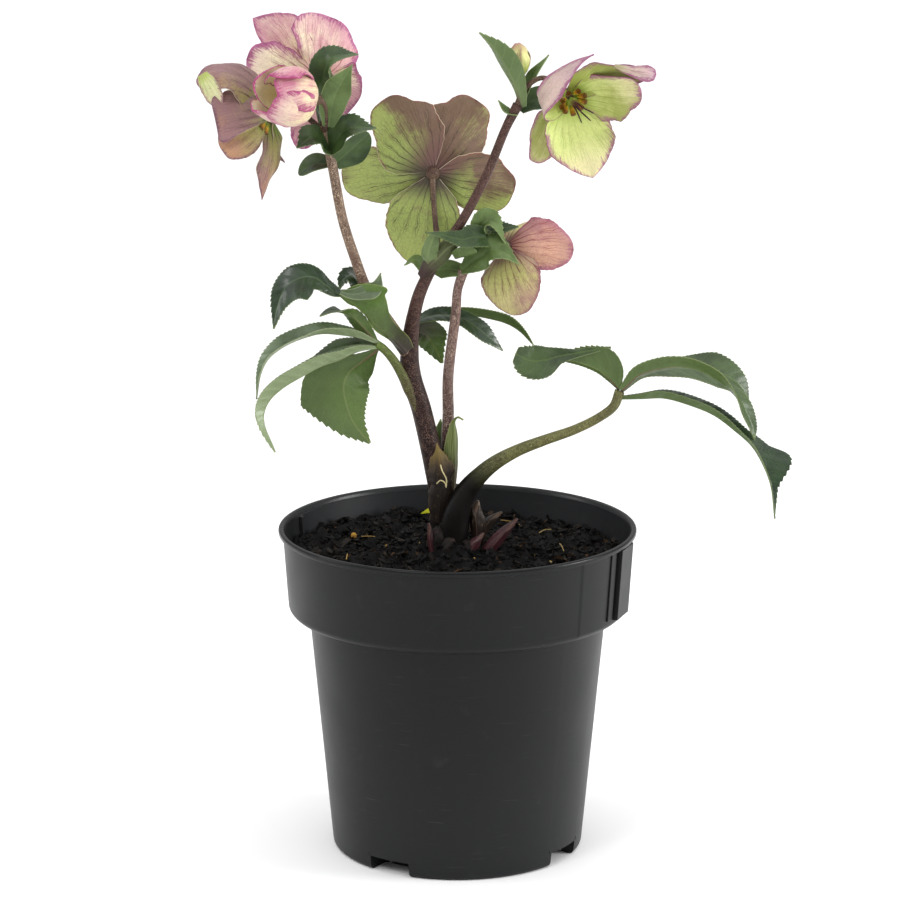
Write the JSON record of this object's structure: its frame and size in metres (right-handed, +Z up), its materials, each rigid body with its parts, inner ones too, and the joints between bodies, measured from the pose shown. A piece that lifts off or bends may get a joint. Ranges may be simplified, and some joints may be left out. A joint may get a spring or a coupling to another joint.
{
  "type": "hellebore plant in a nursery pot",
  "caption": "Hybrid hellebore in flower, with nodding five-sepalled blooms, toothed compound leaves and new shoots rising from one crown, growing in a black nursery pot filled with potting mix.",
  "frame": {"origin": "middle of the pot's flat underside, on the surface it stands on", "axes": "+Z up along the pot's axis; -Y towards the side with the arched drain notches that the plant is seen from; +X to that viewer's right"},
  "size_m": [0.3129, 0.1912, 0.4481],
  "materials": {
    "pot": "satin black polypropylene with a fine moulded grain",
    "potting_mix": "loose dark bark and peat, matt",
    "rootstock": "knobbly brown rootstock, matt",
    "stem": "smooth fleshy stem, dark brown-purple with fine pale flecks",
    "leaf": "leathery, glossy dark green above, paler and matt below",
    "shoot": "smooth purple-brown sheathed shoots",
    "sheath": "papery basal sheaths, green to brown",
    "sepal_green": "soft satin sepal, lime green with mauve areas",
    "sepal_lime": "soft satin sepal, yellow-green with a pink margin",
    "sepal_pink": "soft satin sepal, cream to pink with a magenta margin",
    "sepal_mauve": "soft satin sepal, dusky mauve brown",
    "bud": "closed bud, cream yellow with a pink top",
    "bract": "leafy toothed bracts, green",
    "nectary": "waxy yellow-brown tubes",
    "pistil": "dark purple styles on green carpels"
  },
  "bodies": {
    "root": {"pot": "pot", "soil": "potting_mix", "crown": "rootstock", "flowering_stem_main": "stem", "flowering_stem_left": "stem", "flowering_stem_middle": "stem", "leaf_left": "leaf", "leaf_upper_left": "leaf", "leaf_behind": "leaf", "leaf_right": "leaf", "shoot_tall": "shoot", "shoot_far": "shoot", "shoot_long": "shoot", "shoot_small": "shoot", "shoot_left": "shoot", "sheath_green": "sheath", "sheath_behind": "sheath", "sheath_brown": "sheath", "bloom_centre": "sepal_green", "bloom_low_right": "sepal_green", "bloom_top_right": "sepal_lime", "bud_opening": "sepal_pink", "bloom_top_left": "sepal_pink", "bloom_low_left": "sepal_mauve", "bud_closed": "bud", "bract_top_right_tall": "bract", "bract_top_right_narrow": "bract", "bract_top_right_low": "bract", "bract_top_right_small": "bract", "bract_top_left_dark": "bract", "bract_top_left_green": "bract", "bract_collar_left": "bract", "bract_collar_right": "bract", "bract_collar_low_left": "bract", "bract_collar_low_right": "bract", "bract_middle_dark": "bract", "bract_middle_tall": "bract", "bract_middle_far": "bract", "bract_middle_right": "bract", "bract_middle_pouch": "bract", "bract_middle_left": "bract", "bract_middle_wing": "bract", "bract_middle_low": "bract", "nectaries_centre": "nectary", "pistil_centre": "pistil", "nectaries_top_right": "nectary", "pistil_top_right": "pistil", "nectaries_low_right": "nectary", "pistil_low_right": "pistil", "nectaries_top_left": "nectary", "pistil_top_left": "pistil", "nectaries_low_left": "nectary", "pistil_low_left": "pistil"}
  },
  "joints": []
}
